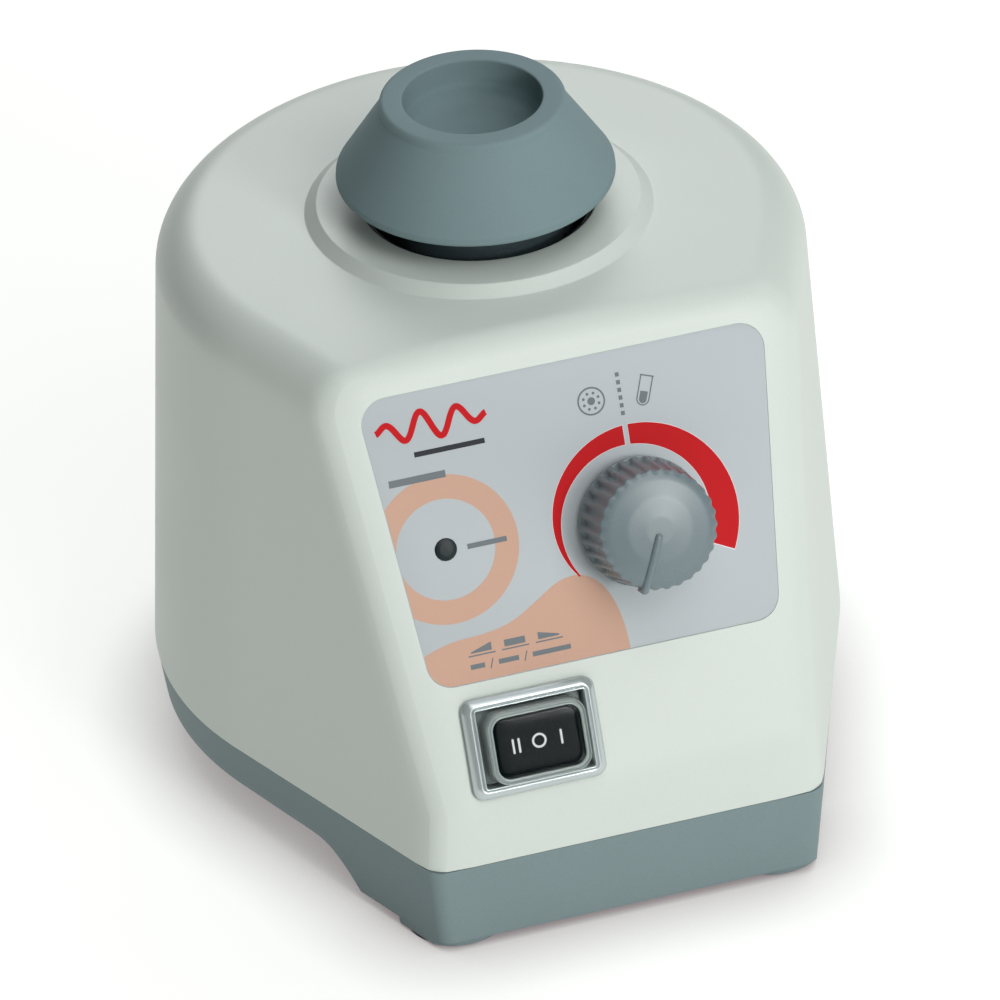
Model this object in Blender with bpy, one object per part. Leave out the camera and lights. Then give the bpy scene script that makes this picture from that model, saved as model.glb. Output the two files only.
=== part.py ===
"""Compact vortex mixer: white tapering housing on a grey tray, rubber cup head,
speed knob, three-position rocker, and the drive inside.  Metres, +Z up, front -Y.
Sizes below are in millimetres; the frame origin is the middle of the footprint
on the floor and the motor axis stands 7.48 mm behind it."""
import bpy
import bmesh
import math
from mathutils import Matrix, Vector

for old in list(bpy.data.objects):
    bpy.data.objects.remove(old, do_unlink=True)

MM = 0.001

# ---------------------------------------------------------------- dimensions
AY = 7.48            # motor axis, y
R_BODY = 63.9        # rear half circle at the parting line
Y_FRONT = -76.5      # flat front, measured from the motor axis
TAPER = 23.0         # side walls close in towards the front by this angle
DRAFT = 3.28         # wall draft, degrees
Z_PART = 18.5        # parting line
Z_KNEE = 29.9        # upright front ends, panel begins
Z_TOP = 106.4        # rim of the slightly crowned top
Z_CROWN = 107.5
FILLET = 8.0         # top edge
PANEL_TILT = 23.3    # panel leans back from upright
R_EDGE = 3.4         # upright front corners
WALL = 2.6
Z_PLATEAU = 109.4
R_PLATEAU, R_PLATEAU_FOOT = 29.55, 31.75
R_OPENING = 21.6
Z_BASE = 2.2         # front toe of the tray
Z_ARCH = 9.7         # underside of the tray behind the toe
Z_BOSS = 0.7
FEET = [(-30.4, -65.0), (30.4, -65.0), (-33.0, 30.0), (33.0, 30.0)]
CRANK = (-0.8, -1.7)   # crank pin from the motor axis
CUP_LOW, CUP_TOP = 116.2, 131.9
KNOB_U, KNOB_V = 9.9, 46.5
LAMP_U, LAMP_V = -26.3, 48.6
SW_U, SW_V = -16.15, 11.65
Y_POCKET = 57.5      # flat seat of the mains inlet, from the motor axis

S, C = math.sin(math.radians(PANEL_TILT)), math.cos(math.radians(PANEL_TILT))
UP = Matrix.Translation((0, AY, 0))
PANEL = Matrix(((1, 0, 0, 0), (0, S, -C, Y_FRONT + AY), (0, C, S, Z_KNEE), (0, 0, 0, 1)))


# ---------------------------------------------------------------- helpers
def make(name, verts, faces, mat=None):
    me = bpy.data.meshes.new(name)
    bm = bmesh.new()
    vs = []
    for v in verts:
        p = Vector(v)
        if mat is not None:
            p = mat @ p
        vs.append(bm.verts.new(p * MM))
    for f in faces:
        bm.faces.new([vs[i] for i in f])
    bmesh.ops.recalc_face_normals(bm, faces=bm.faces[:])
    bm.to_mesh(me)
    bm.free()
    ob = bpy.data.objects.new(name, me)
    bpy.context.collection.objects.link(ob)
    return ob


def at(x, y, z=0.0, base=UP):
    return base @ Matrix.Translation((x, y, z))


def box(name, lo, hi, mat=None):
    v = [(x, y, z) for z in (lo[2], hi[2]) for y in (lo[1], hi[1]) for x in (lo[0], hi[0])]
    f = [(0, 1, 3, 2), (4, 5, 7, 6), (0, 1, 5, 4), (2, 3, 7, 6), (0, 2, 6, 4), (1, 3, 7, 5)]
    return make(name, v, f, mat)


def lathe(name, prof, n=24, mat=None, radius=None):
    """closed profile of (r, z) turned about z; points on the axis become one vertex"""
    verts, rows = [], []
    for r, z in prof:
        if r <= 1e-6:
            rows.append([len(verts)])
            verts.append((0, 0, z))
        else:
            rows.append(list(range(len(verts), len(verts) + n)))
            for i in range(n):
                a = 2 * math.pi * i / n
                q = r if radius is None else radius(r, z, i)
                verts.append((q * math.cos(a), q * math.sin(a), z))
    faces = []
    for k in range(len(rows)):
        a, b = rows[k], rows[(k + 1) % len(rows)]
        if len(a) == 1 and len(b) == 1:
            continue
        for i in range(n):
            j = (i + 1) % n
            if len(a) == 1:
                faces.append((a[0], b[j], b[i]))
            elif len(b) == 1:
                faces.append((a[i], a[j], b[0]))
            else:
                faces.append((a[i], a[j], b[j], b[i]))
    return make(name, verts, faces, mat)


def prism(name, pts, z0, z1, mat=None, pts1=None):
    top = pts if pts1 is None else pts1
    n = len(pts)
    verts = [(x, y, z0) for x, y in pts] + [(x, y, z1) for x, y in top]
    faces = [tuple(range(n)), tuple(range(n, 2 * n))]
    for i in range(n):
        j = (i + 1) % n
        faces.append((i, j, n + j, n + i))
    return make(name, verts, faces, mat)


def rounded(pts, r, n=4):
    """polygon with rounded corners, counter-clockwise"""
    out = []
    m = len(pts)
    for k in range(m):
        p, a, b = Vector(pts[k]), Vector(pts[k - 1]), Vector(pts[(k + 1) % m])
        d0, d1 = (a - p).normalized(), (b - p).normalized()
        half = math.acos(max(-1, min(1, d0.dot(d1)))) / 2
        t = r / math.tan(half)
        c = p + (d0 + d1).normalized() * (r / math.sin(half))
        s0, s1 = p + d0 * t - c, p + d1 * t - c
        a0 = math.atan2(s0.y, s0.x)
        da = math.atan2(s1.y, s1.x) - a0
        while da <= -math.pi:
            da += 2 * math.pi
        while da > math.pi:
            da -= 2 * math.pi
        for i in range(n + 1):
            w = a0 + da * i / n
            out.append((c.x + r * math.cos(w), c.y + r * math.sin(w)))
    return out


def rect(u, v, w, h, r=0.0, n=4):
    p = [(u - w / 2, v - h / 2), (u + w / 2, v - h / 2), (u + w / 2, v + h / 2), (u - w / 2, v + h / 2)]
    return rounded(p, r, n) if r else p


def tool(ob, other, op):
    m = ob.modifiers.new(op.lower(), 'BOOLEAN')
    m.operation = op
    m.solver = 'EXACT'
    m.object = other
    other.hide_render = True
    other.display_type = 'WIRE'


def cut(ob, other):
    tool(ob, other, 'DIFFERENCE')


def fuse_on(ob, other):
    tool(ob, other, 'UNION')


# ---------------------------------------------------------------- body plan
def outline(radius, yf, rc, corner=4, arc=30):
    t = math.radians(TAPER)
    s, c = math.sin(t), math.cos(t)
    yc = yf + rc
    xc = (radius - rc + yc * s) / c
    pts = []
    for i in range(corner + 1):
        a = -math.pi / 2 + (math.pi / 2 - t) * i / corner
        pts.append((xc + rc * math.cos(a), yc + rc * math.sin(a)))
    for i in range(arc + 1):
        a = -t + (math.pi + 2 * t) * i / arc
        pts.append((radius * math.cos(a), radius * math.sin(a)))
    for i in range(corner + 1):
        a = -t + (t - math.pi / 2) * i / corner
        pts.append((-(xc + rc * math.cos(a)), yc + rc * math.sin(a)))
    return pts


def ring(z, inset):
    d = math.tan(math.radians(DRAFT))
    radius = R_BODY - (z - Z_PART) * d - inset
    fil, top = FILLET - inset, Z_TOP - inset
    if z > top - fil:
        h = z - (top - fil)
        radius -= fil - math.sqrt(max(fil * fil - h * h, 0.0))
    low = Y_FRONT + inset
    lean = Y_FRONT + inset / C + (z - Z_KNEE) * S / C
    rc = R_EDGE - inset * 0.6 if z < Z_KNEE + 8 else 3.2 - inset * 0.6
    return [(x, y, z) for x, y in outline(radius, max(low, lean), rc)]


def knee(inset):
    return Z_KNEE + (inset - inset / C) * C / S


def levels(inset):
    fil, top = FILLET - inset, Z_TOP - inset
    zs = [Z_PART, knee(inset), top - fil]
    zs += [top - fil + fil * math.sin(math.pi / 2 * k / 5) for k in range(1, 6)]
    return zs


outer = [ring(z, 0.0) for z in levels(0.0)]
inner = [ring(z, WALL) for z in levels(WALL)]
n = len(outer[0])
verts = [p for r in outer for p in r] + [p for r in inner for p in r]
faces = []
for side, rows in ((0, len(outer)), (len(outer) * n, len(inner))):
    for k in range(rows - 1):
        for i in range(n):
            j = (i + 1) % n
            faces.append((side + k * n + i, side + k * n + j, side + (k + 1) * n + j, side + (k + 1) * n + i))
    faces.append(tuple(side + (rows - 1) * n + i for i in range(n)))
for i in range(n):
    j = (i + 1) % n
    faces.append((i, j, len(outer) * n + j, len(outer) * n + i))
housing = make("top_housing", verts, faces, UP)

fuse_on(housing, lathe("t_plateau", [(0, 105), (41.2, 105), (41.2, 106.35), (R_PLATEAU_FOOT, Z_CROWN), (R_PLATEAU, Z_PLATEAU), (0, Z_PLATEAU)], 48, UP))
fuse_on(housing, box("t_pad", (-18.0, 54.5, 22.5), (18.0, 58.4, 60.5), UP))
cut(housing, lathe("t_opening", [(0, 90), (R_OPENING, 90), (R_OPENING, 120), (0, 120)], 48, UP))
cut(housing, prism("t_pocket", rect(0, 41.5, 32.6, 34.6, 2.0, 3), -70, -Y_POCKET,
                   UP @ Matrix(((1, 0, 0, 0), (0, 0, -1, 0), (0, 1, 0, 0), (0, 0, 0, 1)))))
cut(housing, box("t_inlet", (-13.9, 45, 26.6), (13.9, 66, 56.4), UP))
cut(housing, lathe("t_shaft", [(0, -8), (3.7, -8), (3.7, 4), (0, 4)], 24, PANEL @ Matrix.Translation((KNOB_U, KNOB_V, 0))))
cut(housing, lathe("t_lamp", [(0, -8), (2.2, -8), (2.2, 4), (0, 4)], 16, PANEL @ Matrix.Translation((LAMP_U, LAMP_V, 0))))
cut(housing, prism("t_switch", rect(SW_U, SW_V, 22.4, 16.4), -9, 5, PANEL))
LABEL = [(-32.9, 23.7), (32.9, 23.7), (38.4, 77.9), (-38.4, 77.9)]
WIDE = [(-33.2, 23.4), (33.2, 23.4), (38.7, 78.2), (-38.7, 78.2)]
cut(housing, prism("t_label", rounded(WIDE, 4.9, 5), -0.45, 3, PANEL))

# ---------------------------------------------------------------- base tray
SIDE_IN = 0.25
t_in = math.radians(5.0)


def base_pts(z, inset=0.0):
    g = SIDE_IN + (Z_PART - z) * math.tan(t_in) * 0.9 + inset
    return outline(R_BODY - g, Y_FRONT + SIDE_IN + (Z_PART - z) * 0.03 + inset, max(R_EDGE - inset * 0.6, 2.0))


base = prism("base_tray", base_pts(Z_BASE), Z_BASE, Z_PART - 0.3, UP, base_pts(Z_PART - 0.3))
low = [(-54.3, -5), (-54.3, 2.2), (-53.05, 3.85), (-51.75, 5.35), (-50.4, 6.75), (-48.9, 7.95), (-47.2, 8.95), (-45.0, 9.6), (-42.5, Z_ARCH), (75, Z_ARCH), (75, -5)]
YZ = Matrix(((0, 0, 1, 0), (1, 0, 0, 0), (0, 1, 0, 0), (0, 0, 0, 1)))
cut(base, prism("t_arch", low, -80, 80, UP @ YZ))
cut(base, prism("t_tray", base_pts(12.3, 2.4), 12.3, 22, UP))
toe = [(-33.4, -73.9), (33.4, -73.9), (38.6, -58.5), (-38.6, -58.5)]
cut(base, prism("t_toe", rounded(toe, 3.0, 3), 4.6, 15, UP))
for k, (fx, fy) in enumerate(FEET):
    fuse_on(base, lathe("t_boss%d" % k, [(0, Z_BOSS), (9.7, Z_BOSS), (10.0, Z_BOSS + 0.3), (10.0, 2.5), (8.5, 3.2), (8.5, 10.6), (0, 10.6)], 28, at(fx, fy)))
    fuse_on(base, lathe("t_post%d" % k, [(0, 5.0), (4.6, 5.0), (4.6, 16.6), (0, 16.6)], 20, at(fx, fy)))
    cut(base, lathe("t_seat%d" % k, [(0, 0), (5.3, 0), (5.3, 3.6), (1.75, 3.6), (1.75, 18), (0, 18)], 20, at(fx, fy)))
for k in range(7):
    cut(base, prism("t_vent%d" % k, rect(-18 + 6 * k, -18, 2.4, 22, 1.1, 3), 8, 13, UP))

names = ["front_left", "front_right", "rear_left", "rear_right"]
for nm, (fx, fy) in zip(names, FEET):
    lathe("foot_" + nm, [(1.8, 1.2), (3.7, 1.2), (3.7, 0), (8.9, 0), (9.3, 0.2), (9.3, 0.55), (5.1, 0.55), (5.1, 3.4), (1.8, 3.4)], 28, at(fx, fy))
    lathe("foot_screw_" + nm, [(0, 0.35), (2.6, 0.35), (3.3, 0.7), (3.3, 1.05), (1.55, 1.15), (1.55, 15.5), (0, 16.2)], 12, at(fx, fy))
box("rating_plate", (-20, 24, 9.1), (20, 46, 9.42), UP)

# ---------------------------------------------------------------- panel pieces
lab = prism("control_label", rounded(LABEL, 4.6, 5), -0.42, -0.14, PANEL)
cut(lab, lathe("t_lab_knob", [(0, -2), (6.6, -2), (6.6, 3), (0, 3)], 24, at(KNOB_U, KNOB_V, 0, PANEL)))
cut(lab, lathe("t_lab_lamp", [(0, -2), (2.0, -2), (2.0, 3), (0, 3)], 16, at(LAMP_U, LAMP_V, 0, PANEL)))

KM = at(KNOB_U, KNOB_V, 0, PANEL)


def flute(r, z, i):
    return r if i % 2 == 0 or r < 10.8 or z > 11.5 or z < 2.5 else r - 0.4


knob = lathe("knob", [(0, 10.4), (3.08, 10.4), (3.08, 5.0), (8.6, 4.0), (10.4, 0.6), (11.6, 0.6), (11.85, 0.9), (11.8, 2.9),
                      (10.95, 11.6), (10.7, 12.0), (6.0, 12.75), (0, 13.0)], 60, KM, flute)
TURN = Matrix.Rotation(math.radians(-23.7 + 180), 4, 'Z')
fuse_on(knob, prism("t_pointer", [(-0.7, 0.4), (0.7, 0.4), (0.7, 11.6), (-0.7, 11.6)], 11.0, 13.4, KM @ TURN))
lathe("pot_shaft", [(0, -3.6), (2.98, -3.6), (2.98, 9.7), (2.6, 10.2), (0, 10.2)], 20, KM)
lathe("pot_nut", [(3.6, 0.4), (6.0, 0.4), (6.0, 2.4), (3.6, 2.4)], 6, KM)
lathe("pot_body", [(0, -13.5), (8.4, -13.5), (8.4, -5.0), (3.55, -5.0), (3.55, 0.1), (3.12, 0.1), (3.12, -3.8), (0, -3.8)], 24, KM)

LM = at(LAMP_U, LAMP_V, 0, PANEL)
lathe("lamp_lens", [(0, -7.5), (1.85, -7.5), (1.85, 0.35), (1.3, 0.75), (0, 0.9)], 20, LM)

SM = at(SW_U, SW_V, 0, PANEL)
frame_prof = [(11.0, 8.0, -6.0), (11.0, 8.0, 0.12), (12.6, 9.3, 0.12), (12.6, 9.3, 0.7), (12.1, 8.8, 1.35), (11.2, 8.0, 1.9), (10.6, 7.5, 2.0), (10.25, 7.2, 1.8), (10.2, 7.15, -6.0)]
loops = [rect(0, 0, 2 * a, 2 * b, 0.6 if a < 11.1 else 2.2, 3) for a, b, z in frame_prof]
m = len(loops[0])
verts = [(x, y, frame_prof[k][2]) for k in range(len(loops)) for x, y in loops[k]]
faces = []
for k in range(len(loops)):
    k2 = (k + 1) % len(loops)
    for i in range(m):
        j = (i + 1) % m
        faces.append((k * m + i, k * m + j, k2 * m + j, k2 * m + i))
make("switch_bezel", verts, faces, SM)

skin = [(9.9, 6.85, -5.6), (9.9, 6.85, -0.4), (9.45, 6.75, 0.4), (9.4, 6.7, 4.4), (8.95, 6.25, 4.9)]
skin_in = [(8.6, 5.95, 4.6), (9.05, 6.35, 4.1), (9.1, 6.4, -0.9), (9.5, 6.5, -1.2), (9.5, 6.5, -5.6)]
both = skin + skin_in
loops = [rect(0, 0, 2 * a, 2 * b, 2.2 if z > -0.9 else 0.8, 3) for a, b, z in both]
m = len(loops[0])
verts = [(x, y, both[k][2]) for k in range(len(loops)) for x, y in loops[k]]
faces = []
for k in range(len(loops)):
    if k == len(skin) - 1:
        continue
    k2 = (k + 1) % len(loops)
    for i in range(m):
        j = (i + 1) % m
        faces.append((k * m + i, k * m + j, k2 * m + j, k2 * m + i))
a = len(skin) - 1
faces.append(tuple(a * m + i for i in range(m)))
faces.append(tuple((a + 1) * m + i for i in range(m)))
make("switch_cover", verts, faces, SM)

rows = [(2.6, 5.0, -5.2, 0.6), (7.7, 5.5, -1.4, 1.8), (8.1, 5.6, 0.0, 2.1), (8.1, 5.6, 2.7, 2.1), (7.6, 5.1, 3.2, 1.8)]
loops = [rect(0, 0, 2 * a, 2 * b, r, 3) for a, b, z, r in rows]
m = len(loops[0])
verts = [(x, y, rows[k][2]) for k in range(len(loops)) for x, y in loops[k]]
faces = [tuple(range(m)), tuple(range((len(loops) - 1) * m, len(loops) * m))]
for k in range(len(loops) - 1):
    for i in range(m):
        j = (i + 1) % m
        faces.append((k * m + i, k * m + j, (k + 1) * m + j, (k + 1) * m + i))
make("rocker", verts, faces, SM)
box("switch_body", (-10.4, -7.4, -23.5), (10.4, 7.4, -6.3), SM)
box("switch_tab", (-0.4, -3.1, -31), (0.4, 3.1, -23.7), SM)

# ---------------------------------------------------------------- control board
box("control_board", (-29, 27, -17.6), (30, 68, -16.0), PANEL)
lathe("board_capacitor", [(0, -15.8), (5.0, -15.8), (5.0, -6.0), (0, -6.0)], 20, at(-12, 58, 0, PANEL))
box("board_triac", (-24, 32, -15.8), (-14, 36.5, -7.5), PANEL)
box("board_heat_sink", (-26, 37.0, -15.8), (-12, 39.0, -5.2), PANEL)

# ---------------------------------------------------------------- mains inlet
IN = Matrix(((1, 0, 0, 0), (0, 0, 1, 0), (0, 1, 0, 0), (0, 0, 0, 1)))
IM = UP @ IN    # u across, v up, n towards the rear
inlet = prism("inlet_body", rect(0, 41.5, 27.2, 29.2), 38.0, Y_POCKET + 0.8, IM)
fuse_on(inlet, prism("t_flange", rect(0, 41.5, 31.4, 33.4, 2.0, 3), Y_POCKET + 0.25, Y_POCKET + 2.6, IM))
sock = [(-11.4, 27.9), (11.4, 27.9), (11.4, 38.4), (7.6, 42.6), (-7.6, 42.6), (-11.4, 38.4)]
cut(inlet, prism("t_socket", sock, 43.5, 70, IM))
cut(inlet, box("t_drawer", (-11.2, 45, 45.6), (11.2, 70, 54.2), UP))
for k, (x, z) in enumerate(((-7.0, 33.2), (7.0, 33.2), (0.0, 37.6))):
    cut(inlet, box("t_pin%d" % k, (x - 1.2, 30, z - 2.2), (x + 1.2, 50, z + 2.2), UP))
for nm, (x, z) in zip(("line", "neutral", "earth"), ((-7.0, 33.2), (7.0, 33.2), (0.0, 37.6))):
    box("inlet_pin_" + nm, (x - 1.0, 31, z - 2.0), (x + 1.0, 57.4, z + 2.0), UP)
drawer = box("fuse_drawer", (-11.0, 46.5, 45.8), (11.0, Y_POCKET + 3.4, 54.0), UP)
cut(drawer, box("t_fuse", (-10.2, 48.0, 47.0), (10.2, 53.6, 58.0), UP))
lathe("fuse", [(0, -10), (2.5, -10), (2.5, 10), (0, 10)], 16, UP @ Matrix(((0, 0, 1, 0), (0, 1, 0, 50.8), (-1, 0, 0, 49.8), (0, 0, 0, 1))))

# ---------------------------------------------------------------- drive
plate = prism("ballast_plate", rounded([(-40, -46), (40, -46), (52, -8), (40, 38), (-40, 38), (-52, -8)], 6, 3), 12.6, 16.3, UP)
cut(plate, lathe("t_ballast", [(0, 10), (10.5, 10), (10.5, 20), (0, 20)], 24, UP))
for k, (fx, fy) in enumerate(FEET[2:]):
    cut(plate, lathe("t_bal%d" % k, [(0, 10), (5.4, 10), (5.4, 20), (0, 20)], 20, at(fx, fy)))
for k, (x, y) in enumerate(((-25, -25), (25, -25), (-25, 22), (25, 22))):
    lathe("damper_%d" % (k + 1), [(0, 16.6), (5.5, 16.6), (5.5, 18.2), (4.4, 19.2), (4.4, 21.2), (5.5, 22.2), (5.5, 24.0), (0, 24.0)], 16, at(x, y))
lower = prism("lower_bracket", rect(0, -1.0, 64, 62, 5, 3), 24.3, 28.0, UP)
fuse_on(lower, lathe("t_lboss", [(0, 26), (9.0, 26), (9.0, 34), (0, 34)], 24, UP))
cut(lower, lathe("t_lbore", [(0, 20), (5.25, 20), (5.25, 40), (0, 40)], 24, UP))
lathe("lower_bearing", [(2.56, 27.0), (5.1, 27.0), (5.1, 33.8), (2.56, 33.8)], 24, UP)
upper = prism("upper_bracket", rect(0, -1.0, 64, 62, 5, 3), 76.0, 79.5, UP)
cut(upper, lathe("t_ubore", [(0, 70), (7.1, 70), (7.1, 90), (0, 90)], 24, UP))
lathe("upper_bearing", [(2.56, 75.0), (7.0, 75.0), (7.0, 80.0), (2.56, 80.0)], 24, UP)
for k, (x, y) in enumerate(((-27, -27), (27, -27), (-27, 25), (27, 25))):
    lathe("pillar_%d" % (k + 1), [(0, 28.3), (3.2, 28.3), (3.2, 75.7), (0, 75.7)], 12, at(x, y))
lathe("stator", [(17.4, 41), (31.5, 41), (31.5, 63), (17.4, 63)], 32, UP)
lathe("winding_lower", [(19.0, 35.5), (26.0, 35.5), (28.0, 37.5), (28.0, 40.6), (19.0, 40.6)], 28, UP)
lathe("winding_upper", [(19.0, 63.4), (28.0, 63.4), (28.0, 66.5), (26.0, 68.5), (19.0, 68.5)], 28, UP)
lathe("rotor", [(2.56, 41), (16.8, 41), (16.8, 63), (2.56, 63)], 28, UP)
lathe("motor_shaft", [(0, 26.9), (2.5, 26.9), (2.5, 69), (4.2, 69), (4.2, 73.0), (2.5, 73.0), (2.5, 95.3), (0, 95.3)], 20, UP)
hub = lathe("crank_hub", [(0, 95.6), (2.56, 95.6), (2.56, 90), (12.5, 90), (12.5, 97), (0, 97)], 28, UP)
fuse_on(hub, lathe("t_pin", [(0, 96.2), (4.0, 96.2), (4.0, 110.6), (3.4, 111.2), (0, 111.2)], 20, at(*CRANK)))
wt = [(18.5 * math.cos(math.radians(a)), 18.5 * math.sin(math.radians(a))) for a in range(20, 161, 14)]
fuse_on(hub, prism("t_weight", wt, 90.4, 96.6, UP))
lathe("head_bearing", [(4.05, 99.3), (8.0, 99.3), (8.0, 106.2), (4.05, 106.2)], 24, at(*CRANK))
lathe("head_platform", [(8.1, 99), (11.0, 99), (11.0, 103.2), (17.2, 103.2), (17.2, 119.0), (16.7, 119.5), (0, 119.5), (0, 111.9),
                        (5.0, 111.9), (5.0, 106.5), (8.1, 106.5)], 40, at(*CRANK))
cup_prof = [(17.45, 116.0), (24.7, 115.5), (25.2, 115.7), (25.4, 116.3), (25.1, 117.3), (21.2, 123.5), (17.3, 129.6), (16.9, 130.4), (16.3, 131.4), (15.2, 131.9),
            (13.0, 131.9), (12.7, 131.6), (12.45, 127.2), (11.6, 124.9), (9.6, 122.9), (6.0, 121.7), (0, 121.3), (0, 119.8), (17.45, 119.8)]
lathe("cup", cup_prof, 44, at(*CRANK))
lathe("splash_collar", [(20.4, 99.0), (21.2, 99.0), (21.2, 100.8), (24.5, 100.8), (24.5, 103.4), (21.2, 103.4), (21.2, 108.3), (21.0, 108.6), (20.4, 108.6)], 48, UP)

# press-down return spring: one round wire
wire, turns, rs, z0, z1, k6 = 0.45, 4.0, 5.6, 81.2, 89.2, 5
verts, faces = [], []
steps = int(turns * 14)
for i in range(steps + 1):
    w = 2 * math.pi * turns * i / steps
    zc = z0 + (z1 - z0) * i / steps
    for q in range(k6):
        b = 2 * math.pi * q / k6
        rr = rs + wire * math.cos(b)
        verts.append((rr * math.cos(w), rr * math.sin(w), zc + wire * math.sin(b)))
for i in range(steps):
    for q in range(k6):
        p = (q + 1) % k6
        faces.append((i * k6 + q, i * k6 + p, (i + 1) * k6 + p, (i + 1) * k6 + q))
faces.append(tuple(range(k6)))
faces.append(tuple(steps * k6 + q for q in range(k6)))
make("press_spring", verts, faces, UP)

# touch switch under the shaft
lathe("plunger", [(0, 18.1), (1.4, 18.3), (2.3, 19.2), (2.3, 22.4), (4.6, 22.4), (4.6, 24.0), (2.3, 24.0), (2.3, 26.6), (0, 26.6)], 16, UP)
box("touch_switch", (9.8, -3.3, 16.6), (22.0, 3.3, 22.8), UP)
box("touch_lever", (-2.0, -1.6, 17.3), (9.5, 1.6, 17.75), UP)
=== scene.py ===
"""Looks of a compact vortex mixer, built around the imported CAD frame."""
import math
import bpy
import bmesh
import numpy as np
from mathutils import Matrix, Vector


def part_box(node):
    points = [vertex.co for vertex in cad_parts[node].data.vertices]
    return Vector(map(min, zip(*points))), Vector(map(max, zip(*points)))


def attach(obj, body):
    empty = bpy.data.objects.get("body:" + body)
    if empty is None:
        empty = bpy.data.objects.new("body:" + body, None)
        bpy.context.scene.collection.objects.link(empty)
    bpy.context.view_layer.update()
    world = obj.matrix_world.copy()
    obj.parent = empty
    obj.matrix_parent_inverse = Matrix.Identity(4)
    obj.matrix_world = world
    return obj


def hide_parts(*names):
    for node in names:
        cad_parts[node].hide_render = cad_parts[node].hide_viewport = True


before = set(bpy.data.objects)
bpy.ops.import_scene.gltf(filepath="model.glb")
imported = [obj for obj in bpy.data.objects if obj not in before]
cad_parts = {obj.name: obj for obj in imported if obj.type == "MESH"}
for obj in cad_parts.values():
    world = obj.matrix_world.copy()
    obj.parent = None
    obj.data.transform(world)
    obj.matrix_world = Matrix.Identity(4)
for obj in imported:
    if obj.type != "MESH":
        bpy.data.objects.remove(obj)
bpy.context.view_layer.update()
MM = 0.001

# ------------------------------------------------------------ sizes, in mm
AY = (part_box("rotor")[0].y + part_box("rotor")[1].y) / 2 / MM      # motor axis
R_BODY, Y_FRONT = 63.9, -76.5           # rear half circle at the parting line; flat front
TAPER, DRAFT, TILT = 23.0, 3.28, 23.3   # side walls, wall draft and panel lean, in degrees
Z_PART, Z_KNEE = 18.5, 29.9             # parting line; start of the sloping panel
Z_TOP, Z_CROWN, FILLET = 106.4, 107.5, 8.0          # top at the wall and at the plateau; its edge radius
R_EDGE = 3.4                            # upright front corners
Z_PLATEAU, R_PLATEAU, R_FOOT, R_OPENING = 109.4, 29.55, 31.75, 21.4
WALL = 2.6                              # wall thickness
Z_BASE, Z_ARCH, Z_BOSS = 2.2, 9.7, 0.7  # tray: front toe, underside, foot bosses
FEET = {"front_left": (-30.4, -65.0), "front_right": (30.4, -65.0),
        "rear_left": (-33.0, 30.0), "rear_right": (33.0, 30.0)}
CRANK = (-0.8, -1.7)                    # head's axis from the motor axis, at rest
KNOB_U, KNOB_V = 9.9, 46.5              # places on the panel: u to the right, v up the slope
LAMP_U, LAMP_V = -26.3, 48.6
SW_U, SW_V = -16.15, 11.65
LABEL = [(-32.9, 23.7), (32.9, 23.7), (38.4, 77.9), (-38.4, 77.9)]
LABEL_R, LABEL_GAP = 4.8, 0.03          # its corner radius and the gap round it
N_FILM = -0.12                          # top of the label film, below the panel's face
Y_POCKET, Z_INLET = 57.5, 41.5          # seat and middle height of the mains inlet

# ------------------------------------------------------------ frames, from the motor axis
S, C = math.sin(math.radians(TILT)), math.cos(math.radians(TILT))
TS, TC = math.sin(math.radians(TAPER)), math.cos(math.radians(TAPER))
AXIS = Matrix.Translation((0, AY, 0))
PANEL = Matrix(((1, 0, 0, 0), (0, S, -C, Y_FRONT + AY), (0, C, S, Z_KNEE), (0, 0, 0, 1)))
REAR = AXIS @ Matrix(((1, 0, 0, 0), (0, 0, 1, 0), (0, 1, 0, 0), (0, 0, 0, 1)))     # third axis to the rear
SIDE = AXIS @ Matrix(((0, 0, 1, 0), (1, 0, 0, 0), (0, 1, 0, 0), (0, 0, 0, 1)))     # third axis to the right


def panel_at(u, v):
    """origin on the panel's face, third axis out of it"""
    return PANEL @ Matrix.Translation((u, v, 0))


def axis_at(x, y):
    """upright axis, placed from the motor axis"""
    return AXIS @ Matrix.Translation((x, y, 0))


# ------------------------------------------------------------ mesh helpers
def link(name, data):
    """new object in the scene"""
    ob = bpy.data.objects.new(name, data)
    bpy.context.scene.collection.objects.link(ob)
    return ob


def mesh_object(name, verts, faces, mat=None, sharp=32):
    """mesh from points in mm; mat places it; sharp is None for flat faces"""
    me = bpy.data.meshes.new(name)
    bm = bmesh.new()
    if mat is not None:
        verts = [mat @ Vector(v) for v in verts]
    vs = [bm.verts.new(Vector(v) * MM) for v in verts]
    for f in faces:
        bm.faces.new([vs[i] for i in f])
    bmesh.ops.recalc_face_normals(bm, faces=bm.faces[:])
    bm.to_mesh(me)
    bm.free()
    ob = link(name, me)
    if sharp is not None:
        soften(ob, sharp)
    return ob


def soften(ob, angle):
    """smooth faces, with the edges over that angle kept sharp"""
    bm = bmesh.new()
    bm.from_mesh(ob.data)
    limit = math.radians(angle)
    for f in bm.faces:
        f.smooth = True
    for e in bm.edges:
        e.smooth = len(e.link_faces) == 2 and e.calc_face_angle(0.0) < limit
    bm.to_mesh(ob.data)
    bm.free()


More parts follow.
